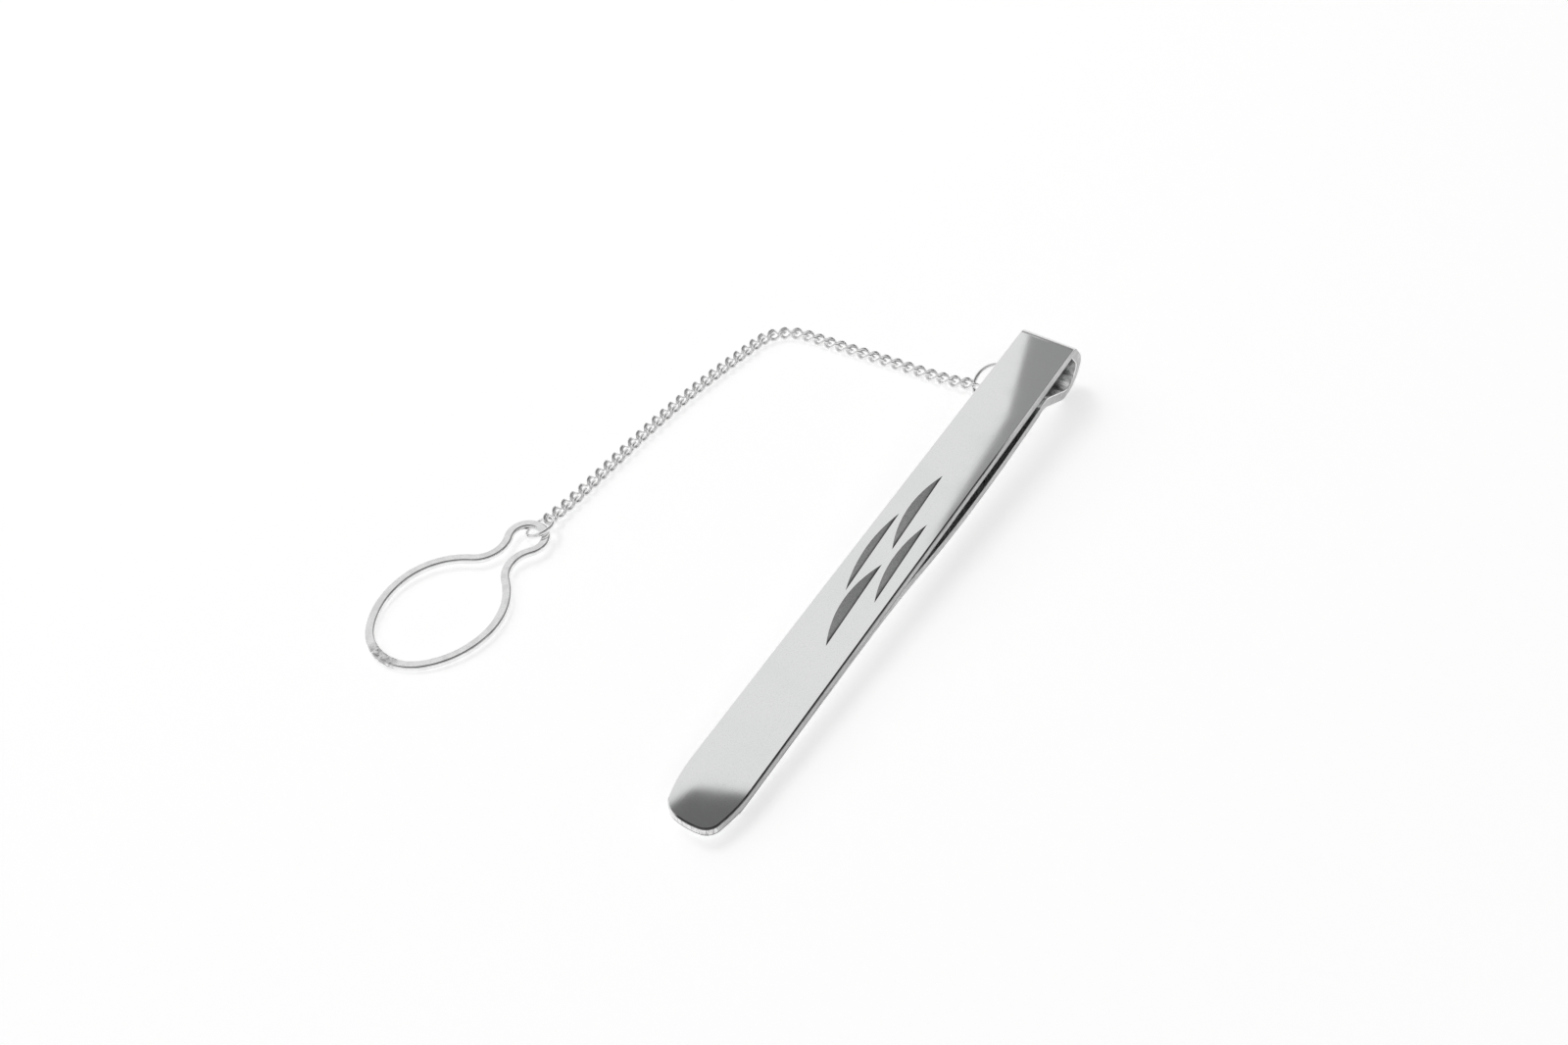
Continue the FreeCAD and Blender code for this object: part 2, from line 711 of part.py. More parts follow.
subparts = [make_front_bar(), make_spring_bend(), make_back_leaf()]
subparts.append(make_ring("clip_ring", "clip_ring_diameter", clip_ring_place))
subparts += make_chain()
subparts.append(make_ring("loop_ring", "loop_ring_diameter", loop_ring_place))
subparts.append(make_button_loop())
doc.recompute()

for item in doc.Objects:
    if "Invalid" in item.State or "Error" in item.State:
        raise RuntimeError(f"{item.Label} failed: {item.State}")
for subpart in subparts:
    if subpart.Shape.isNull() or not subpart.Shape.isValid() or len(subpart.Shape.Solids) != 1:
        raise RuntimeError(f"{subpart.Label} is not one sound solid")

os.makedirs("parts", exist_ok=True)
for subpart in subparts:
    subpart.Shape.exportStep(f"parts/{subpart.Label}.step")
print(f"lying angle {math.degrees(lying_angle):.2f}, {len(subparts)} sub-parts written")
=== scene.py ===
"""Looks and stage of a tie clip with a safety chain and a button loop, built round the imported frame.

Sizes of the pieces and of the camera are in millimetres and become metres where something is placed. Those of
the table and the lamp are in metres.
"""

import json
import logging
import math
from dataclasses import dataclass
from enum import Enum
from typing import ClassVar

import bmesh
import bpy
import numpy as np
from mathutils import Matrix, Vector

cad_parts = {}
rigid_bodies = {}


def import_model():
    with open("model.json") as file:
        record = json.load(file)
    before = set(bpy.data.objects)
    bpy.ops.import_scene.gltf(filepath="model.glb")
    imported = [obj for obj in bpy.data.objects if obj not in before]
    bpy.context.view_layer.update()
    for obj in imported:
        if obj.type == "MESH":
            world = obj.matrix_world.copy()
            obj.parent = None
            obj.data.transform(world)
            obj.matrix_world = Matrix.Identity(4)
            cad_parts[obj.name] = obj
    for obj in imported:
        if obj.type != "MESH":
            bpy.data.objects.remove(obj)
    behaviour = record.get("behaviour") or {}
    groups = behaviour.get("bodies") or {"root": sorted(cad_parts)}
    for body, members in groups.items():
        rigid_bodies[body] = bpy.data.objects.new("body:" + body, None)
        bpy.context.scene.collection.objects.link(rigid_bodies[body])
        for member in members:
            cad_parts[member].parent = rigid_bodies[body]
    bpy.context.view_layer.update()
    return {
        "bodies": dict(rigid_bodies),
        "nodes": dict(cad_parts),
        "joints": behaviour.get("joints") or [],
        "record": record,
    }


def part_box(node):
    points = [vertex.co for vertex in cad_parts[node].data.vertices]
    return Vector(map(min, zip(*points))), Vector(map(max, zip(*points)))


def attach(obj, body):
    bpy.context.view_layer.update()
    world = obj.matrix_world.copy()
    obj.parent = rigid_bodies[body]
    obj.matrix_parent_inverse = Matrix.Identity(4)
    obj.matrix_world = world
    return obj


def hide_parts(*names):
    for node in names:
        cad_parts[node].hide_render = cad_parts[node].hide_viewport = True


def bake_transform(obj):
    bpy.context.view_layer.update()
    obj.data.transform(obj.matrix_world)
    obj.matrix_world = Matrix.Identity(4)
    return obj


MM = 0.001
PHOTO_WIDTH = 1600
WHITE = (1.0, 1.0, 1.0, 1.0)
Colour = tuple[float, float, float]
Triple = tuple[float, float, float]
Span = tuple[float, float]
Socket = bpy.types.NodeSocket
Edges = list[bmesh.types.BMEdge]
Faces = list[bmesh.types.BMFace]
log = logging.getLogger("tie_clip")


class Slot(Enum):
    """The record's material slots."""

    STRIP = "strip"
    WIRE = "wire"


class Shading:
    """Short ways to add shader nodes to one tree.

    A Mix node has sockets for every kind of value, so those for colours are found by their numbers.
    """

    colour_inputs: ClassVar[tuple[int, int, int]] = (0, 6, 7)
    colour_output: ClassVar[int] = 2

    def __init__(self, tree: bpy.types.NodeTree, ending: str) -> None:
        """Empty the tree and give it its output.

        Args:
            tree: The node tree of a material or of the world.
            ending: The type of the output node.
        """
        self.nodes = tree.nodes
        self.links = tree.links
        self.nodes.clear()
        self.surface = self.nodes.new(ending).inputs["Surface"]

    def feed(self, value: object, socket: Socket) -> None:
        """Set a socket.

        Args:
            value: Another socket to link from, or a plain value.
            socket: The input to set.
        """
        if isinstance(value, Socket):
            self.links.new(value, socket)
        else:
            socket.default_value = value

    def place(self, kind: str) -> Socket:
        """Give one of the texture coordinates."""
        return self.nodes.new("ShaderNodeTexCoord").outputs[kind]

    def parts(self, vector: Socket) -> list[Socket]:
        """Split a vector.

        Args:
            vector: The vector's socket.

        Returns:
            Its X, Y and Z.
        """
        split = self.nodes.new("ShaderNodeSeparateXYZ")
        self.links.new(vector, split.inputs[0])
        return list(split.outputs)

    def math(self, operation: str, *values: object) -> Socket:
        """Work on one or more numbers.

        Args:
            operation: The name of the Math node's operation.
            values: Sockets or plain numbers.

        Returns:
            The result.
        """
        node = self.nodes.new("ShaderNodeMath")
        node.operation = operation
        for value, socket in zip(values, node.inputs):
            self.feed(value, socket)
        return node.outputs[0]

    def measure(self, operation: str, vector: Socket, other: Vector) -> Socket:
        """Measure a vector against another.

        Args:
            operation: The name of a Vector Math operation that gives a number.
            vector: The vector's socket.
            other: A direction or a point.

        Returns:
            The measured number.
        """
        node = self.nodes.new("ShaderNodeVectorMath")
        node.operation = operation
        self.feed(vector, node.inputs[0])
        self.feed(other, node.inputs[1])
        return node.outputs["Value"]

    def step(
        self, value: Socket, low: object, high: float, start: object = 0.0, end: object = 1.0
    ) -> Socket:
        """Go softly from one value to another.

        Args:
            value: The number that decides.
            low: Where the change starts.
            high: Where it is full.
            start: The result up to low.
            end: The result from high on.

        Returns:
            The result.
        """
        node = self.nodes.new("ShaderNodeMapRange")
        node.interpolation_type = "SMOOTHSTEP"
        for name, given in (
            ("Value", value), ("From Min", low), ("From Max", high), ("To Min", start), ("To Max", end)
        ):
            self.feed(given, node.inputs[name])
        return node.outputs["Result"]

    def noise(self, place: Socket, repeats: Triple, detail: float) -> Socket:
        """Make a noise.

        Args:
            place: The coordinates that it follows.
            repeats: Its repeats in a metre along each axis.
            detail: How many finer layers it has.

        Returns:
            The noise, from 0 to 1.
        """
        stretch = self.nodes.new("ShaderNodeMapping")
        stretch.inputs["Scale"].default_value = repeats
        self.links.new(place, stretch.inputs["Vector"])
        node = self.nodes.new("ShaderNodeTexNoise")
        node.inputs["Scale"].default_value = 1.0
        node.inputs["Detail"].default_value = detail
        self.links.new(stretch.outputs["Vector"], node.inputs["Vector"])
        return node.outputs["Fac"]

    def tint(self, share: object, first: object, second: object) -> Socket:
        """Mix two colours.

        Args:
            share: How much of the second there is.
            first: A socket or three plain numbers.
            second: The same.

        Returns:
            The mixed colour.
        """
        node = self.nodes.new("ShaderNodeMix")
        node.data_type = "RGBA"
        for value, number in zip((share, first, second), self.colour_inputs):
            self.feed((*value, 1.0) if isinstance(value, tuple) else value, node.inputs[number])
        return node.outputs[self.colour_output]

    def bump(self, height: Socket, distance: float) -> Socket:
        """Raise a surface.

        Args:
            height: The height, from 0 to 1.
            distance: The height of 1, in metres.

        Returns:
            The raised surface's normal.
        """
        node = self.nodes.new("ShaderNodeBump")
        node.inputs["Distance"].default_value = distance
        self.links.new(height, node.inputs["Height"])
        return node.outputs["Normal"]

    def blend(self, share: Socket, first: Socket, second: Socket) -> Socket:
        """Mix two surfaces.

        Args:
            share: How much of the second there is.
            first: The first surface.
            second: The second surface.

        Returns:
            The mixed surface.
        """
        node = self.nodes.new("ShaderNodeMixShader")
        for value, socket in zip((share, first, second), node.inputs):
            self.links.new(value, socket)
        return node.outputs[0]


def new_material(name: str) -> tuple[bpy.types.Material, Shading]:
    """Start a material.

    Args:
        name: The material's name.

    Returns:
        The material, and its empty nodes.
    """
    material = bpy.data.materials.new(name)
    material.use_nodes = True
    return material, Shading(material.node_tree, "ShaderNodeOutputMaterial")


@dataclass(frozen=True)
class SilverFinish:
    """A silver surface with haze, fine grain and working lines, and painted shade where it is given.

    Patterns are given as repeats in a metre, on Object coordinates, and the height of the lines in metres.
    """

    bright: Colour
    dull: Colour
    smooth: float
    hazy: float
    haze_repeats: float
    grain_repeats: float
    grain_depth: float
    line_repeats: Triple
    line_height: float
    line_depth: float = 0.0
    haze_detail: ClassVar[float] = 4.0
    grain_detail: ClassVar[float] = 2.0
    line_detail: ClassVar[float] = 3.0
    haze_span: ClassVar[Span] = (0.35, 0.6)
    rough_span: ClassVar[Span] = (0.3, 0.7)
    grain_span: ClassVar[Span] = (0.45, 0.75)
    line_span: ClassVar[Span] = (0.48, 0.62)
    line_tone: ClassVar[Colour] = (0.1, 0.1, 0.1)
    shade_tone: ClassVar[Colour] = (0.02, 0.02, 0.02)

    def surface(self, shading: Shading, shade: Socket | None = None) -> Socket:
        """Add this surface to a material.

        Args:
            shading: The material's nodes.
            shade: Where painted shade makes the surface nearly black, from 0 to 1, if anywhere.

        Returns:
            The surface's socket.
        """
        place = shading.place("Object")
        haze = shading.noise(place, (self.haze_repeats,) * 3, self.haze_detail)
        grain = shading.noise(place, (self.grain_repeats,) * 3, self.grain_detail)
        lines = shading.noise(place, self.line_repeats, self.line_detail)
        tone = shading.tint(shading.step(haze, *self.haze_span), self.dull, self.bright)
        dark_tone = tuple(part * (1.0 - self.grain_depth) for part in self.dull)
        tone = shading.tint(shading.step(grain, *self.grain_span), tone, dark_tone)
        scored = shading.step(lines, *self.line_span, 0.0, self.line_depth)
        tone = shading.tint(scored, tone, self.line_tone)
        # Painted shade: the colour goes nearly black where the shade mask is set.
        if shade is not None:
            tone = shading.tint(shade, tone, self.shade_tone)
        shader = shading.nodes.new("ShaderNodeBsdfPrincipled")
        shader.inputs["Metallic"].default_value = 1.0
        for name, value in (
            ("Base Color", tone),
            ("Roughness", shading.step(haze, *self.rough_span, self.hazy, self.smooth)),
            ("Normal", shading.bump(lines, self.line_height)),
        ):
            shading.links.new(value, shader.inputs[name])
        return shader.outputs["BSDF"]


POLISHED_FACE = SilverFinish(
    bright=(0.93, 0.935, 0.935),
    dull=(0.905, 0.915, 0.915),
    smooth=0.03,
    hazy=0.045,
    haze_repeats=180.0,
    grain_repeats=15000.0,
    grain_depth=0.09,
    line_repeats=(250.0, 6000.0, 6000.0),
    line_height=0.00000005,
)
# Filed sides: rougher and lined, with a dark grey that is partly painted shade.
FILED_SIDE_AND_PAINTED_SHADE = SilverFinish(
    bright=(0.54, 0.54, 0.54),
    dull=(0.47, 0.47, 0.47),
    smooth=0.22,
    hazy=0.32,
    haze_repeats=900.0,
    grain_repeats=12000.0,
    grain_depth=0.15,
    line_repeats=(180.0, 9000.0, 7000.0),
    line_height=0.000012,
    line_depth=0.35,
)
FILED_TIP = SilverFinish(
    bright=(0.9, 0.9, 0.9),
    dull=(0.8, 0.8, 0.8),
    smooth=0.18,
    hazy=0.26,
    haze_repeats=1800.0,
    grain_repeats=9000.0,
    grain_depth=0.05,
    line_repeats=(900.0, 10000.0, 900.0),
    line_height=0.00003,
    line_depth=0.45,
)
WORN_FACE = SilverFinish(
    bright=(0.88, 0.88, 0.88),
    dull=(0.83, 0.83, 0.83),
    smooth=0.16,
    hazy=0.22,
    haze_repeats=500.0,
    grain_repeats=12000.0,
    grain_depth=0.1,
    line_repeats=(250.0, 6000.0, 6000.0),
    line_height=0.000003,
)
# Painted shade: a near-black finish for a dark reflection along the bar's upper edge and shade along its
# foot.
PAINTED_DARK_RIM = SilverFinish(
    bright=(0.07, 0.07, 0.07),
    dull=(0.03, 0.03, 0.03),
    smooth=0.22,
    hazy=0.3,
    haze_repeats=1500.0,
    grain_repeats=9000.0,
    grain_depth=0.2,
    line_repeats=(4000.0, 4000.0, 4000.0),
    line_height=0.0000006,
)
ENGRAVED_CUT = SilverFinish(
    bright=(0.95, 0.95, 0.95),
    dull=(0.82, 0.83, 0.83),
    smooth=0.3,
    hazy=0.38,
    haze_repeats=2200.0,
    grain_repeats=11000.0,
    grain_depth=0.3,
    line_repeats=(1500.0, 12000.0, 12000.0),
    line_height=0.000004,
)
POLISHED_WIRE = SilverFinish(
    bright=(0.94, 0.94, 0.94),
    dull=(0.84, 0.84, 0.84),
    smooth=0.08,
    hazy=0.15,
    haze_repeats=1200.0,
    grain_repeats=12000.0,
    grain_depth=0.04,
    line_repeats=(4000.0, 4000.0, 4000.0),
    line_height=0.0000004,
)
TUMBLED_WIRE = SilverFinish(
    bright=(0.93, 0.93, 0.93),
    dull=(0.86, 0.86, 0.86),
    smooth=0.24,
    hazy=0.34,
    haze_repeats=1500.0,
    grain_repeats=12000.0,
    grain_depth=0.05,
    line_repeats=(4000.0, 4000.0, 4000.0),
    line_height=0.0000006,
)
SOLDERED_SEAM = SilverFinish(
    bright=(0.84, 0.84, 0.84),
    dull=(0.58, 0.58, 0.58),
    smooth=0.25,
    hazy=0.4,
    haze_repeats=1800.0,
    grain_repeats=4500.0,
    grain_depth=0.55,
    line_repeats=(3000.0, 3000.0, 3000.0),
    line_height=0.00006,
)


@dataclass(frozen=True)
class EngravedField:
    """Where the bar's strokes lie, so that they get their own finish and painted shade along their walls."""

    middle_from_bend: float = 32.4
    middle_offset: float = -0.23
    reach: float = 16.0
    half_width: float = 2.65
    turn: float = 2.2
    row_step: float = 1.41
    shallow: float = 0.008
    deepest: float = 0.4
    wall_shade: float = 0.24

    def masks(self, shading: Shading, spot: list[Socket]) -> tuple[Socket, Socket]:
        """Find the strokes by their depth, and painted shade at the foot of their upright walls by their
        rows.

        Args:
            shading: The material's nodes.
            spot: The place along the bar's own axes: X to the bend, Z up from its top.

        Returns:
            The strokes, and the painted shade along their walls, each from 0 to 1.
        """
        along, across, height = spot
        from_middle = shading.math("ADD", along, self.middle_from_bend * MM)
        from_line = shading.math("SUBTRACT", across, self.middle_offset * MM)
        strokes = shading.step(height, -self.shallow * MM / 2, -self.shallow * MM)
        for inside in (
            shading.math("GREATER_THAN", height, -self.deepest * MM),
            shading.math("LESS_THAN", shading.math("ABSOLUTE", from_middle), self.reach * MM),
            shading.math("LESS_THAN", shading.math("ABSOLUTE", across), self.half_width * MM),
        ):
            strokes = shading.math("MULTIPLY", strokes, inside)
        lean = math.radians(self.turn)
        turned = shading.math(
            "SUBTRACT",
            shading.math("MULTIPLY", from_line, math.cos(lean)),
            shading.math("MULTIPLY", from_middle, math.sin(lean)),
        )
        # Painted shade: a dark line at the foot of each stroke's upright wall, the groove's deepest part.
        rows = shading.math("FRACT", shading.math("DIVIDE", turned, self.row_step * MM))
        return strokes, shading.step(rows, self.wall_shade, 0.0)


@dataclass(frozen=True)
class StripLook:
    """The strip's surface: polished faces, filed sides, a filed tip, engraved strokes and painted shade.

    The sides' dark grey is partly painted shade. A painted dark reflection runs along the top of the right
    side towards the tip, and painted shade along the foot of every side and of each stroke's wall. Each span
    is in millimetres, counted down from the bar's top, back from the bend, to the right of the middle or in
    from a side. A mark starts to show at the first value and shows in full at the second.
    """

    face: SilverFinish = POLISHED_FACE
    # Filed sides, their grey partly painted shade.
    side: SilverFinish = FILED_SIDE_AND_PAINTED_SHADE
    tip: SilverFinish = FILED_TIP
    # Near-black painted shade for the upper right edge and the foot.
    rim: SilverFinish = PAINTED_DARK_RIM
    inner: SilverFinish = WORN_FACE
    stroke: SilverFinish = ENGRAVED_CUT
    strokes: EngravedField = EngravedField()
    half_width: float = 2.9
    side_margins: Span = (0.024, 0.01)
    edge_run: Span = (0.003, 0.009)
    side_run: Span = (0.048, 0.073)
    # Spans of the painted dark reflection on the right side, and of the painted shade along the foot.
    painted_reflection_run: Span = (0.288, 0.24)
    painted_reflection_left: Span = (-1.4, -0.65)
    painted_reflection_away: Span = (12.0, 18.0)
    painted_foot_shade_run: Span = (0.95, 1.045)
    underside: Span = (1.098, 1.094)
    tip_run: Span = (61.9, 62.1)

    def plain(self, name: str, wide_at: float = 0.0, taper: float = 0.0) -> bpy.types.Material:
        """Make the look of the bend or the leaf: worn faces and filed sides, whose grey is partly painted
        shade.

        Args:
            name: The material's name.
            wide_at: Where along X a tapered piece has its full width, in metres.
            taper: How much each side comes in for each length along X.

        Returns:
            The finished material.
        """
        material, shading = new_material(name)
        along, across, _ = shading.parts(shading.place("Object"))
        drawn_in = shading.math("MULTIPLY", shading.math("SUBTRACT", wide_at, along), taper)
        outward = shading.math("ADD", shading.math("ABSOLUTE", across), drawn_in)
        sides = shading.step(outward, *((self.half_width - margin) * MM for margin in self.side_margins))
        look = shading.blend(sides, self.inner.surface(shading), self.side.surface(shading))
        shading.links.new(look, shading.surface)
        return material

    def engraved(self, name: str, bar: Matrix) -> bpy.types.Material:
        """Make the look of the bar.

        Args:
            name: The material's name.
            bar: The bar's own axes.

        Returns:
            The finished material.
        """
        material, shading = new_material(name)
        place = shading.place("Object")
        spot = []
        for axis in bar.col[:3]:
            reach = shading.measure("DOT_PRODUCT", place, axis.xyz)
            spot.append(shading.math("SUBTRACT", reach, axis.xyz.dot(bar.translation)))
        along, across, height = spot
        edge = self.run(shading, (height, self.edge_run), (height, self.underside))
        side = self.run(shading, (height, self.side_run), (height, self.underside))
        look = shading.blend(side, self.face.surface(shading), self.side.surface(shading))
        tip = shading.math("MULTIPLY", edge, self.run(shading, (along, self.tip_run)))
        look = shading.blend(tip, look, self.tip.surface(shading))
        # Painted shade: near black along the top of the right side towards the tip, for a dark reflection,
        # and along the foot of every side.
        rim = self.run(shading, (height, self.painted_reflection_run), (across, self.painted_reflection_left), (along, self.painted_reflection_away))
        rim = shading.math("MAXIMUM", rim, self.run(shading, (height, self.painted_foot_shade_run)))
        look = shading.blend(shading.math("MULTIPLY", edge, rim), look, self.rim.surface(shading))
        # The strokes get painted shade along their walls.
        strokes, walls = self.strokes.masks(shading, spot)
        look = shading.blend(strokes, look, self.stroke.surface(shading, walls))
        shading.links.new(look, shading.surface)
        return material

    @staticmethod
    def run(shading: Shading, *limits: tuple[Socket, Span]) -> Socket:
        """Mark what lies within some runs.

        Args:
            shading: The material's nodes.
            limits: Each measured value, and how far below zero it is where the mark starts and is full.

        Returns:
            The mark, from 0 to 1.
        """
        marks = [shading.step(value, -start * MM, -full * MM) for value, (start, full) in limits]
        mark = marks[0]
        for other in marks[1:]:
            mark = shading.math("MULTIPLY", mark, other)
        return mark


def wire_look(name: str, finish: SilverFinish) -> bpy.types.Material:
    """Make the look of the chain or of the rings.

    Args:
        name: The material's name.
        finish: The wire's finish.

    Returns:
        The finished material.
    """
    material, shading = new_material(name)
    shading.links.new(finish.surface(shading), shading.surface)
    return material


@dataclass(frozen=True)
class NodeAxes:
    """Where a CAD node lies: the middle of its surface and its principal axes."""

    centre: Vector
    long_axis: Vector
    short_axis: Vector

    @classmethod
    def of(cls, node: bpy.types.Object) -> "NodeAxes":
        """Measure a node's mesh, each face weighted by its area.

        Args:
            node: A CAD node of the frame.

        Returns:
            The node's middle, and its directions of most and least spread.
        """
        faces = node.data.polygons
        points = np.array([face.center for face in faces], float)
        areas = np.array([face.area for face in faces], float)
        centre = (points * areas[:, None]).sum(0) / areas.sum()
        spread = points - centre
        _, axes = np.linalg.eigh((spread * areas[:, None]).T @ spread)
        return cls(Vector(centre), Vector(axes[:, 2]), Vector(axes[:, 0]))


def axes_matrix(origin: Vector, x_axis: Vector, y_axis: Vector) -> Matrix:
    """Make the matrix that carries X and Y to two square directions.

    Args:
        origin: Where the origin goes, in metres.
        x_axis: The unit direction of X.
        y_axis: The unit direction of Y.

    Returns:
        The placing matrix.
    """
    z_axis = x_axis.cross(y_axis)
    matrix = Matrix((x_axis, y_axis, z_axis)).transposed().to_4x4()
    matrix.translation = origin
    return matrix


def finish_piece(
    mesh: bmesh.types.BMesh, name: str, material: bpy.types.Material, sharp_angle: float = 35.0
) -> bpy.types.Object:
    """Turn a bmesh into a shaded object of the scene.

    Args:
        mesh: The modelled mesh, in metres and in place; it is freed.
        name: The piece's name.
        material: The finish of the whole piece.
        sharp_angle: Edges that turn by more than this, in degrees, stay sharp.

    Returns:
        The new object.
    """
    bmesh.ops.recalc_face_normals(mesh, faces=mesh.faces)
    data = bpy.data.meshes.new(name)
    mesh.to_mesh(data)
    mesh.free()
    data.shade_smooth()
    data.set_sharp_from_angle(angle=math.radians(sharp_angle))
    data.materials.append(material)
    piece = bpy.data.objects.new(name, data)
    bpy.context.scene.collection.objects.link(piece)
    log.info("made %s with %d faces", name, len(data.polygons))
    return piece


def of_kind(items: list, kind: type) -> list:
    """Pick the vertices, edges or faces out of an operator's result."""
    return [item for item in items if isinstance(item, kind)]


def rounded_section(mesh: bmesh.types.BMesh, width: float, height: float, corner: float, steps: int) -> Edges:
    """Draw a rounded rectangle in the XY plane round the origin.

    Args:
        mesh: Where the section is drawn.
        width: The size along X.
        height: The size along Y.
        corner: The corners' radius.
        steps: The number of runs in each corner.

    Returns:
        The section's edges.
    """
    bmesh.ops.create_grid(mesh, x_segments=1, y_segments=1, size=0.5)
    bmesh.ops.scale(mesh, vec=(width, height, 1.0), verts=mesh.verts)
    bmesh.ops.bevel(
        mesh, geom=mesh.verts[:], offset=corner, offset_type="OFFSET", affect="VERTICES",
        segments=steps, profile=0.5, material=-1,
    )
    bmesh.ops.delete(mesh, geom=mesh.faces[:], context="FACES_ONLY")
    return mesh.edges[:]


def loop_verts(edges: Edges) -> list[bmesh.types.BMVert]:
    """List the vertices of some edges once each."""
    return list({vert for edge in edges for vert in edge.verts})


def spin_section(
    mesh: bmesh.types.BMesh, edges: Edges, centre: Vector, axis: Vector, angle: float, steps: int
) -> Edges:
    """Carry a section round an arc.

    Args:
        mesh: The mesh that holds the section.
        edges: The section's edges.
        centre: A point on the arc's axis.
        axis: The direction of the arc's axis.
        angle: The turn in degrees.
        steps: The number of runs.

    Returns:
        The edges of the section at the arc's end.
    """
    turned = bmesh.ops.spin(
        mesh, geom=edges + loop_verts(edges), cent=centre, axis=axis, dvec=(0.0, 0.0, 0.0),
        angle=math.radians(angle), steps=steps, use_merge=False, use_duplicate=False,
    )
    return of_kind(turned["geom_last"], bmesh.types.BMEdge)


def push_section(mesh: bmesh.types.BMesh, edges: Edges, way: Vector) -> tuple[Edges, Faces]:
    """Carry a section along a straight run.

    Args:
        mesh: The mesh that holds the section.
        edges: The section's edges.
        way: How far and which way it goes.

    Returns:
        The edges of the section at the run's end, and the run's faces.
    """
    pushed = bmesh.ops.extrude_edge_only(mesh, edges=edges)["geom"]
    verts = of_kind(pushed, bmesh.types.BMVert)
    bmesh.ops.translate(mesh, vec=way, verts=verts)
    ends = [edge for edge in of_kind(pushed, bmesh.types.BMEdge) if all(vert in verts for vert in edge.verts)]
    return ends, of_kind(pushed, bmesh.types.BMFace)


def closed_sweep(
    mesh: bmesh.types.BMesh, stations: list[Matrix], width: float, height: float, sides: int
) -> None:
    """Sweep an oval wire along a closed row of stations.

    Args:
        mesh: The empty mesh to fill.
        stations: Where the wire's section stands, with Z along the wire.
        width: The wire's size along the stations' X.
        height: The wire's size along the stations' Y.
        sides: The number of sides of the wire.
    """
    oval = stations[0] @ Matrix.Diagonal((width / 2, height / 2, 1.0, 1.0))
    bmesh.ops.create_circle(mesh, cap_ends=False, segments=sides, radius=1.0, matrix=oval)
    first = mesh.edges[:]
    edges = first
    for before, after in zip(stations, stations[1:]):
        pushed = bmesh.ops.extrude_edge_only(mesh, edges=edges)["geom"]
        verts = set(of_kind(pushed, bmesh.types.BMVert))
        bmesh.ops.transform(mesh, matrix=after @ before.inverted(), verts=list(verts))
        edges = [edge for edge in of_kind(pushed, bmesh.types.BMEdge) if verts.issuperset(edge.verts)]
    bmesh.ops.bridge_loops(mesh, edges=first + edges)


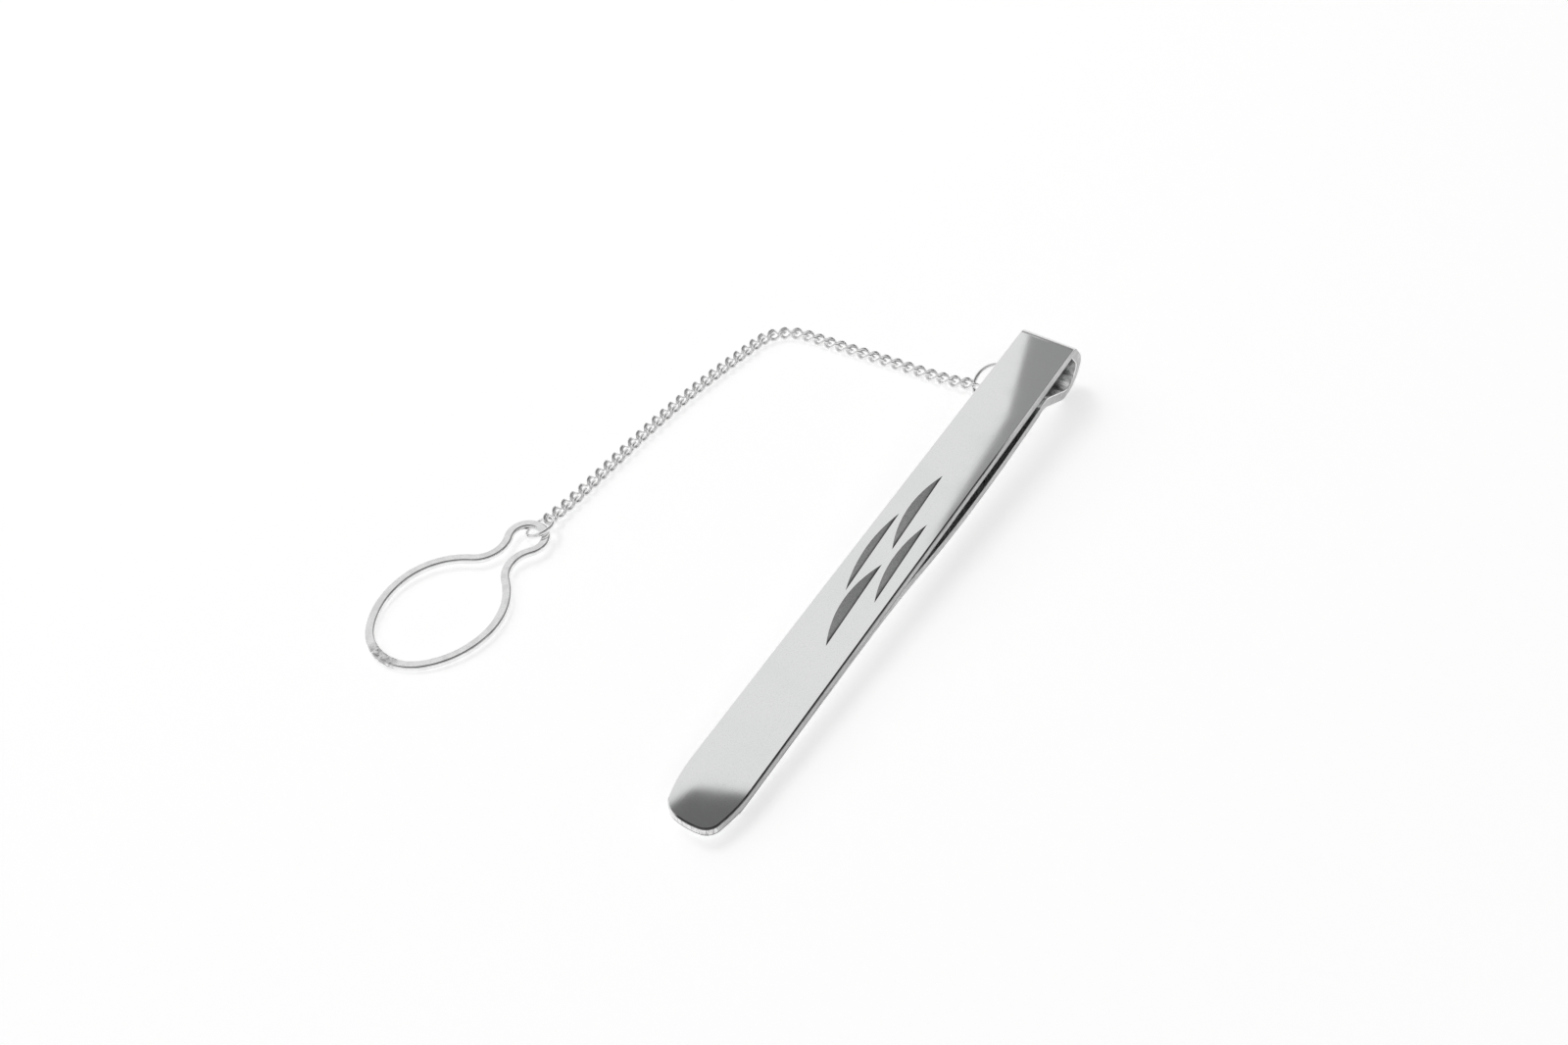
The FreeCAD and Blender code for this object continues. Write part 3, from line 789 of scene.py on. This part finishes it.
@dataclass
class FoldedStrip:
    """The clip: a flat bar with engraved strokes, a spring bend and a back leaf."""

    width: float = 5.8
    thickness: float = 1.1
    edge_radius: float = 0.12
    edge_steps: int = 3
    shoulder_radius: float = 0.35
    shoulder_turn: float = 52.0
    shoulder_run: float = 2.0
    fold_radius: float = 1.54
    fold_turn: float = 160.0
    neck_run: float = 4.4
    neck_radius: float = 3.0
    leaf_drop: float = 5.5
    leaf_narrowing: float = 0.3
    hole_diameter: float = 2.1
    hole_edge: float = 1.5
    hole_share: float = 0.6
    hole_steps: int = 48
    arc_steps: int = 48
    facing_up: float = 0.9

    def dress(self, frame: dict, look: StripLook) -> None:
        """Finish the bar and the leaf, and set a bend in place between them.

        Args:
            look: The strip's surface.
        """
        nodes = frame["nodes"]
        hinge = next(joint for joint in frame["joints"] if joint["name"] == "bar_flex")
        place = self.bar_place(nodes["front_bar"], Vector(hinge["pos_m"]))
        leaf_low, leaf_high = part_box("back_leaf")
        taper = self.leaf_narrowing * MM / (leaf_high.x - leaf_low.x)
        finishes = {
            "front_bar": look.engraved("engraved_bar", place),
            "back_leaf": look.plain("worn_leaf", leaf_high.x, taper),
        }
        for name, finish in finishes.items():
            nodes[name].data.materials.clear()
            nodes[name].data.materials.append(finish)
        bend = self.make_bend(place, look.plain("worn_bend"))
        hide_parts("spring_bend")
        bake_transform(bend)

    def bar_place(self, bar: bpy.types.Object, bend_line: Vector) -> Matrix:
        """Find the bar's own axes: X along it to the bend, Z up from its top.

        Args:
            bar: The bar's CAD node.
            bend_line: The middle of the bend line on the bar's top, in metres.

        Returns:
            The matrix from the bar's own axes, in metres, to the frame.
        """
        tops = [face for face in bar.data.polygons if face.normal.z > self.facing_up]
        up = max(tops, key=lambda face: face.area).normal.copy()
        across = Vector((0.0, 1.0, 0.0))
        return axes_matrix(bend_line, across.cross(up), across)

    def make_bend(self, place: Matrix, polish: bpy.types.Material) -> bpy.types.Object:
        """Carry the strip's section round the shoulder, the fold and the neck.

        Args:
            place: The bar's own axes.
            polish: The strip's finish.

        Returns:
            The bend.
        """
        mesh = bmesh.new()
        edges = rounded_section(mesh, self.thickness, self.width, self.edge_radius, self.edge_steps)
        middle = Vector((0.0, 0.0, -self.thickness / 2))
        upright = axes_matrix(middle, Vector((0.0, 0.0, 1.0)), Vector((0.0, 1.0, 0.0)))
        bmesh.ops.transform(mesh, matrix=upright, verts=mesh.verts)
        bmesh.ops.contextual_create(mesh, geom=edges)
        point = Vector((0.0, 0.0, -self.thickness))
        heading = 0.0
        axis = Vector((0.0, -1.0, 0.0))
        neck_turn = -180.0 + self.leaf_drop + self.shoulder_turn + self.fold_turn
        way = (
            (self.shoulder_radius, -self.shoulder_turn, self.shoulder_run),
            (self.fold_radius, -self.fold_turn, self.neck_run),
            (self.neck_radius + self.thickness, neck_turn, 0.0),
        )
        for radius, turn, run in way:
            side = heading + math.copysign(90.0, turn)
            centre = point + self.side_way(side) * radius
            edges = spin_section(mesh, edges, centre, axis, turn, self.arc_steps)
            heading += turn
            point = centre - self.side_way(heading + math.copysign(90.0, turn)) * radius
            if run:
                edges, faces = push_section(mesh, edges, self.side_way(heading) * run)
            if run == self.neck_run:
                spot = point + self.side_way(heading) * (run * self.hole_share)
                self.drill(mesh, faces, spot + Vector((0.0, self.width / 2 - self.hole_edge, 0.0)))
            point = point + self.side_way(heading) * run
        bmesh.ops.contextual_create(mesh, geom=edges)
        bmesh.ops.transform(mesh, matrix=place @ Matrix.Scale(MM, 4), verts=mesh.verts)
        return finish_piece(mesh, "flexing_bend", polish)

    def drill(self, mesh: bmesh.types.BMesh, faces: Faces, spot: Vector) -> None:
        """Drill the ring's hole square through a straight run of the strip.

        Args:
            mesh: The mesh of the bend.
            faces: The run's faces.
            spot: A point on the hole's axis.
        """
        rims = []
        for face in sorted(faces, key=lambda item: item.calc_area())[-2:]:
            face.normal_update()
            square = face.normal.copy()
            on_face = spot + square * square.dot(face.calc_center_median() - spot)
            border = face.edges[:]
            bmesh.ops.delete(mesh, geom=[face], context="FACES_ONLY")
            place = axes_matrix(on_face, Vector((0.0, 1.0, 0.0)).cross(square), Vector((0.0, 1.0, 0.0)))
            rim = bmesh.ops.create_circle(
                mesh, cap_ends=False, segments=self.hole_steps, radius=self.hole_diameter / 2, matrix=place
            )["verts"]
            ring = list({edge for vert in rim for edge in vert.link_edges})
            bmesh.ops.triangle_fill(mesh, edges=border + ring, use_beauty=True, use_dissolve=False)
            rims += ring
        bmesh.ops.bridge_loops(mesh, edges=rims)

    @staticmethod
    def side_way(angle: float) -> Vector:
        """Give the unit vector at an angle in degrees from +X towards +Z."""
        turn = math.radians(angle)
        return Vector((math.cos(turn), 0.0, math.sin(turn)))


@dataclass
class JumpRing:
    """A ring of round wire."""

    node: str
    diameter: float
    wire: float = 0.42
    steps: int = 64
    sides: int = 20

    def dress(self, frame: dict, polish: bpy.types.Material) -> None:
        """Set a round ring where the CAD ring is.

        Args:
            polish: The wire's finish.
        """
        axes = NodeAxes.of(frame["nodes"][self.node])
        level = Vector((0.0, 0.0, 1.0)).cross(axes.short_axis).normalized()
        place = axes_matrix(axes.centre, level, axes.short_axis.cross(level))
        mesh = bmesh.new()
        out = Matrix.Translation((self.diameter / 2, 0.0, 0.0))
        upright = out @ Matrix.Rotation(math.radians(90.0), 4, "X")
        bmesh.ops.create_circle(
            mesh, cap_ends=False, segments=self.sides, radius=self.wire / 2, matrix=upright
        )
        bmesh.ops.spin(
            mesh, geom=mesh.verts[:] + mesh.edges[:], cent=(0.0, 0.0, 0.0), axis=(0.0, 0.0, 1.0),
            dvec=(0.0, 0.0, 0.0), angle=math.tau, steps=self.steps, use_merge=True, use_duplicate=False,
        )
        bmesh.ops.transform(mesh, matrix=place @ Matrix.Scale(MM, 4), verts=mesh.verts)
        ring = finish_piece(mesh, f"round_{self.node}", polish, sharp_angle=80.0)
        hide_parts(self.node)
        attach(ring, self.node)


@dataclass
class CurbChain:
    """The chain: links of flattened wire, each twisted through a right angle."""

    count: int = 45
    pitch: float = 1.3
    play: float = 0.2
    wire: float = 0.28
    wire_width: float = 0.42
    bight_radius: float = 0.48
    bight_tilt: float = 45.0
    bight_steps: int = 12
    side_steps: int = 8
    sides: int = 14

    @property
    def bight_from_middle(self) -> float:
        """The distance from the link's middle to the centre of either bight."""
        return (self.pitch + self.play + self.wire) / 2 - self.bight_radius

    def wire_line(self) -> list[Vector]:
        """Walk once round the link's twisted middle line.

        Returns:
            Points in millimetres, with X along the link.
        """
        straight = self.bight_from_middle
        flat = []
        for end in (1.0, -1.0):
            for step in range(self.bight_steps):
                turn = math.pi * (step / self.bight_steps - 0.5)
                reach = straight + self.bight_radius * math.cos(turn)
                flat.append((end * reach, end * self.bight_radius * math.sin(turn)))
            for step in range(self.side_steps):
                along = 1.0 - 2.0 * step / self.side_steps
                flat.append((end * straight * along, end * self.bight_radius))
        line = []
        for x, out in flat:
            share = max(-1.0, min(1.0, x / straight))
            tilt = -math.radians(self.bight_tilt) * (1.5 * share - 0.5 * share**3)
            line.append(Vector((x, out * math.cos(tilt), out * math.sin(tilt))))
        return line

    def stations(self) -> list[Matrix]:
        """Stand the wire's section along its middle line.

        Returns:
            The section's places, each with X facing out of the link and Z along the wire.
        """
        line = self.wire_line()
        rows = []
        for before, here, after in zip(line[-1:] + line[:-1], line, line[1:] + line[:1]):
            ahead = (after - before).normalized()
            out = (here - ahead * here.dot(ahead)).normalized()
            rows.append(axes_matrix(here, out, ahead.cross(out)))
        return rows

    def dress(self, frame: dict, polish: bpy.types.Material) -> None:
        """Set a rounded link where each CAD link is.

        Args:
            polish: The wire's finish.
        """
        stations = self.stations()
        for number in range(1, self.count + 1):
            node = f"chain_link_{number:02d}"
            axes = NodeAxes.of(frame["nodes"][node])
            level = Vector((-axes.long_axis.y, axes.long_axis.x, 0.0)).normalized()
            mesh = bmesh.new()
            closed_sweep(mesh, stations, self.wire_width, self.wire, self.sides)
            place = axes_matrix(axes.centre, axes.long_axis, level)
            bmesh.ops.transform(mesh, matrix=place @ Matrix.Scale(MM, 4), verts=mesh.verts)
            link = finish_piece(mesh, f"round_link_{number:02d}", polish, sharp_angle=80.0)
            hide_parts(node)
            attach(link, node)


@dataclass
class ButtonLoop:
    """The loop for a shirt button: one flattened wire with a wide eye, a neck and a head."""

    length: float = 19.15
    cap_radius: float = 4.45
    half_width: float = 5.32
    widest_at: float = 6.7
    shoulder_radius: float = 6.8
    neck_radius: float = 2.84
    neck_gap: float = 1.1
    head_radius: float = 1.75
    wire_width: float = 0.88
    wire_height: float = 0.55
    wire_corner: float = 0.2
    corner_steps: int = 4
    seam_reach: Span = (2.0, 0.9)
    arc_steps: int = 20
    merge_reach: float = 0.001

    def shoulder_at(self) -> float:
        """Find how far along the loop its shoulder starts, so that the neck closes to its gap.

        Returns:
            The place along the loop, at the widest place or beyond it.
        """
        closed = (self.neck_gap + self.wire_width) / 2
        neck_reach = self.head_radius + self.neck_radius
        reach = self.shoulder_radius + self.neck_radius
        neck_at = self.length - self.head_radius - math.sqrt(neck_reach**2 - (self.neck_radius + closed) ** 2)
        return max(self.widest_at, neck_at - math.sqrt(reach**2 - (reach - self.half_width + closed) ** 2))

    def arcs(self) -> list[tuple[Vector, Vector, Vector]]:
        """Find the tangent arcs of one half of the loop, from the far end to the head.

        Returns:
            Each arc's centre, and the directions from it to the arc's start and end.
        """
        rise = self.half_width - self.cap_radius
        run = self.widest_at - self.cap_radius
        side_radius = (run**2 + self.half_width**2 - self.cap_radius**2) / (2 * rise)
        cap = Vector((self.cap_radius, 0.0, 0.0))
        side = Vector((self.widest_at, self.half_width - side_radius, 0.0))
        shoulder = Vector((self.shoulder_at(), self.half_width - self.shoulder_radius, 0.0))
        head = Vector((self.length - self.head_radius, 0.0, 0.0))
        near = self.shoulder_radius + self.neck_radius
        far = self.head_radius + self.neck_radius
        way = head - shoulder
        along = (way.length_squared + near**2 - far**2) / (2 * way.length)
        across = Vector((-way.y, way.x, 0.0)).normalized() * math.sqrt(near**2 - along**2)
        neck = shoulder + way.normalized() * along + across
        outward = Vector((0.0, 1.0, 0.0))
        return [
            (cap, Vector((-1.0, 0.0, 0.0)), cap - side),
            (side, cap - side, outward),
            (shoulder, outward, neck - shoulder),
            (neck, shoulder - neck, head - neck),
            (head, neck - head, Vector((1.0, 0.0, 0.0))),
        ]

    def seamed_look(self, far_end: Vector, wire: SilverFinish, seam: SilverFinish) -> bpy.types.Material:
        """Make the loop's look: plain wire with a seam at its far end.

        Args:
            far_end: The middle of the wire at the loop's far end, in metres.
            wire: The wire's finish.
            seam: The seam's finish.

        Returns:
            The finished material.
        """
        material, shading = new_material("seamed_wire")
        away = shading.measure("DISTANCE", shading.place("Object"), far_end)
        near = shading.step(away, *(reach * MM for reach in self.seam_reach))
        look = shading.blend(near, wire.surface(shading), seam.surface(shading))
        shading.links.new(look, shading.surface)
        return material

    def dress(self, frame: dict, wire: SilverFinish, seam: SilverFinish) -> None:
        """Set the loop where the CAD loop is.

        Args:
            wire: The wire's finish.
            seam: The finish of the seam at its far end.
        """
        place = self.place(frame)
        polish = self.seamed_look(place.translation, wire, seam)
        mesh = bmesh.new()
        edges = rounded_section(
            mesh, self.wire_width, self.wire_height, self.wire_corner, self.corner_steps
        )
        bmesh.ops.transform(mesh, matrix=Matrix.Rotation(math.radians(90.0), 4, "X"), verts=mesh.verts)
        here = Vector()
        for centre, start, end in self.arcs():
            gap = centre.x - here.x
            turn = math.degrees(start.angle(end)) * math.copysign(1.0, start.cross(end).z)
            # A straight run leads from the widest place to a shoulder that starts beyond it.
            if start.x == 0.0 and gap > 0.0:
                edges, _ = push_section(mesh, edges, Vector((gap, 0.0, 0.0)))
            edges = spin_section(mesh, edges, centre, Vector((0.0, 0.0, 1.0)), turn, self.arc_steps)
            here = centre
        half = mesh.verts[:] + mesh.edges[:] + mesh.faces[:]
        bmesh.ops.mirror(mesh, geom=half, axis="Y", merge_dist=self.merge_reach)
        bmesh.ops.remove_doubles(mesh, verts=mesh.verts, dist=self.merge_reach)
        bmesh.ops.transform(mesh, matrix=place @ Matrix.Scale(MM, 4), verts=mesh.verts)
        loop = finish_piece(mesh, "flat_wire_loop", polish, sharp_angle=60.0)
        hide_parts("button_loop")
        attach(loop, "button_loop")

    def place(self, frame: dict) -> Matrix:
        """Find the loop's own axes: X from its far end to its head, Y across it and level.


        Returns:
            The matrix from the loop's own axes, in metres, to the frame.
        """
        node = frame["nodes"]["button_loop"]
        axes = NodeAxes.of(node)
        ring = NodeAxes.of(frame["nodes"]["loop_ring"])
        to_head = axes.long_axis * math.copysign(1.0, axes.long_axis.dot(ring.centre - axes.centre))
        across = Vector((-to_head.y, to_head.x, 0.0)).normalized()
        reaches = [(vert.co - axes.centre).dot(to_head) for vert in node.data.vertices]
        far_end = min(reaches) + self.wire_width / 2 * MM
        return axes_matrix(axes.centre + to_head * far_end, to_head, across)


@dataclass(frozen=True)
class Room:
    """The room that the silver mirrors, as light by direction: X ahead along the bar, Y to its left and Z up.

    Each span is where a change of the light starts and where it is full.
    """

    pale_light: float = 0.78
    gap_light: float = 0.3
    far_light: float = 0.2
    cap_light: float = 0.14
    dark_light: float = 0.04
    right_side: Span = (-0.1, -0.35)
    left_side: Span = (0.45, 0.6)
    dark_height: float = 0.3
    right_rise: float = 0.25
    pale_height: float = 0.62
    far_end: Span = (0.7, 0.78)
    gap_middle: float = 0.602
    gap_bow: float = 0.17
    gap_left: Span = (0.2722, 0.2665)
    gap_deep: Span = (0.5, 0.54)
    gap_inner: Span = (0.22, 0.18)
    gap_near: Span = (0.3, 0.36)
    cap_height: Span = (0.8, 0.84)
    cap_edges: tuple[Triple, ...] = ((0.533, 0.496, 0.486), (2.283, 1.112, 1.1))

    def build(self) -> None:
        """Light the world: pale all round, dark at the table's level and overhead, grey beyond the clip."""
        world = bpy.data.worlds.new("studio")
        bpy.context.scene.world = world
        world.use_nodes = True
        shading = Shading(world.node_tree, "ShaderNodeOutputWorld")
        ahead, across, height = shading.parts(shading.place("Generated"))
        level = self.level(shading, across, height)
        light = shading.step(level, 0.0, 1.0, self.dark_light, self.pale_light)
        light = shading.step(ahead, *self.far_end, light, self.far_light)
        gap = shading.math("MULTIPLY", self.gap(shading, ahead, across), level)
        light = shading.step(gap, 0.0, 1.0, light, self.gap_light)
        cap = shading.step(height, *self.cap_height)
        for slant, start, full in self.cap_edges:
            edge = shading.math("ADD", ahead, shading.math("MULTIPLY", across, slant))
            cap = shading.math("MULTIPLY", cap, shading.step(edge, start, full))
        light = shading.step(cap, 0.0, 1.0, light, self.cap_light)
        background = shading.nodes.new("ShaderNodeBackground")
        background.inputs["Color"].default_value = WHITE
        shading.links.new(light, background.inputs["Strength"])
        shading.links.new(background.outputs[0], shading.surface)

    def level(self, shading: Shading, across: Socket, height: Socket) -> Socket:
        """Mark the pale walls, which start higher at the right and reach down to the table at the left.

        Args:
            shading: The world's nodes.
            across: The direction's share to the left.
            height: The direction's share upwards.

        Returns:
            The mark, from 0 to 1.
        """
        right = shading.step(across, *self.right_side)
        foot = shading.math("ADD", self.dark_height, shading.math("MULTIPLY", right, self.right_rise))
        walls = shading.step(height, foot, self.pale_height)
        return shading.math("MAXIMUM", walls, shading.step(across, *self.left_side))

    def gap(self, shading: Shading, ahead: Socket, across: Socket) -> Socket:
        """Mark the grey gap in the far wall, whose left edge is bowed.

        Args:
            shading: The world's nodes.
            ahead: The direction's share ahead.
            across: The direction's share to the left.

        Returns:
            The mark, from 0 to 1.
        """
        from_middle = shading.math("ABSOLUTE", shading.math("SUBTRACT", ahead, self.gap_middle))
        bow = shading.math("MULTIPLY", from_middle, self.gap_bow)
        gap = shading.step(shading.math("SUBTRACT", across, bow), *self.gap_left)
        deep = shading.step(ahead, *self.gap_deep)
        far = shading.math("MAXIMUM", deep, shading.step(across, *self.gap_inner))
        near = shading.step(ahead, *self.gap_near)
        return shading.math("MULTIPLY", gap, shading.math("MULTIPLY", far, near))


@dataclass
class Studio:
    """The camera of the photograph, a white table and soft light from all round."""

    camera_at: Triple = (-79.17, -38.72, 96.27)
    camera_pitch: float = 45.85
    camera_heading: float = -57.26
    focal_pixels: float = 1450.0
    sensor_width: float = 36.0
    nearest_seen: float = 1.0
    table_radius: float = 1.0
    backdrop_radius: float = 0.6
    backdrop_steps: int = 16
    table_sides: int = 96
    table_colour: tuple[float, float, float, float] = (0.75, 0.75, 0.75, 1.0)
    table_glow: float = 0.585
    table_roughness: float = 0.9
    room: Room = Room()
    key_power: float = 0.6
    key_at: Triple = (0.08, 0.3, 0.5)
    key_size: float = 0.2

    def build(self) -> None:
        """Make the camera, the table and the light."""
        self.make_camera()
        self.make_table()
        self.room.build()
        self.make_key()

    def make_camera(self) -> None:
        """Stand the camera where the photograph was taken."""
        data = bpy.data.cameras.new("photo_camera")
        data.sensor_width = self.sensor_width
        data.lens = self.focal_pixels / PHOTO_WIDTH * self.sensor_width
        data.clip_start = self.nearest_seen * MM
        camera = bpy.data.objects.new("photo_camera", data)
        camera.location = Vector(self.camera_at) * MM
        tilt = math.radians(90.0 - self.camera_pitch)
        camera.rotation_euler = (tilt, 0.0, math.radians(self.camera_heading))
        bpy.context.scene.collection.objects.link(camera)
        bpy.context.scene.camera = camera

    def make_table(self) -> None:
        """Lay a white table that curves up all round, with a glow where it is seen or mirrored."""
        mesh = bmesh.new()
        bmesh.ops.create_circle(mesh, cap_ends=True, segments=self.table_sides, radius=self.table_radius)
        rim = mesh.edges[:]
        reach = self.table_radius
        rise = 0.0
        for step in range(1, self.backdrop_steps + 1):
            turn = math.radians(90.0 * step / self.backdrop_steps)
            wider = self.table_radius + self.backdrop_radius * math.sin(turn)
            higher = self.backdrop_radius * (1.0 - math.cos(turn))
            rim, _ = push_section(mesh, rim, Vector((0.0, 0.0, higher - rise)))
            bmesh.ops.scale(mesh, vec=(wider / reach, wider / reach, 1.0), verts=loop_verts(rim))
            reach = wider
            rise = higher
        data = bpy.data.meshes.new("table")
        mesh.to_mesh(data)
        mesh.free()
        data.shade_smooth()
        table = bpy.data.objects.new("table", data)
        bpy.context.scene.collection.objects.link(table)
        material, shading = new_material("white_table")
        path = shading.nodes.new("ShaderNodeLightPath").outputs
        seen = shading.math("MAXIMUM", path["Is Camera Ray"], path["Is Glossy Ray"])
        seen = shading.math("MAXIMUM", seen, path["Is Transmission Ray"])
        shader = shading.nodes.new("ShaderNodeBsdfPrincipled")
        for name, value in (
            ("Base Color", self.table_colour),
            ("Roughness", self.table_roughness),
            ("Specular IOR Level", 0.0),
            ("Emission Color", WHITE),
            ("Emission Strength", shading.math("MULTIPLY", seen, self.table_glow)),
        ):
            shading.feed(value, shader.inputs[name])
        shading.links.new(shader.outputs["BSDF"], shading.surface)
        data.materials.append(material)

    def make_key(self) -> None:
        """Hang a soft lamp behind and to the left, for the table and the shadows."""
        data = bpy.data.lights.new("soft_key", "AREA")
        data.energy = self.key_power
        data.size = self.key_size
        key = bpy.data.objects.new("soft_key", data)
        key.location = self.key_at
        key.rotation_euler = Vector(self.key_at).to_track_quat("Z", "Y").to_euler()
        key.visible_glossy = False
        bpy.context.scene.collection.objects.link(key)


def main() -> None:
    """Load the frame, dress each sub-assembly, and set the stage."""
    logging.basicConfig(level=logging.INFO, format="%(name)s: %(message)s")
    for item in list(bpy.data.objects):
        bpy.data.objects.remove(item)
    bpy.context.scene.view_settings.view_transform = "Standard"
    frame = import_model()
    wire_polish = wire_look("polished_wire", POLISHED_WIRE)
    FoldedStrip().dress(frame, StripLook())
    JumpRing(node="clip_ring", diameter=4.5).dress(frame, wire_polish)
    CurbChain().dress(frame, wire_look("tumbled_wire", TUMBLED_WIRE))
    JumpRing(node="loop_ring", diameter=2.8).dress(frame, wire_polish)
    ButtonLoop().dress(frame, POLISHED_WIRE, SOLDERED_SEAM)
    Studio().build()
    bpy.context.view_layer.update()


if __name__ == "__main__":
    main()
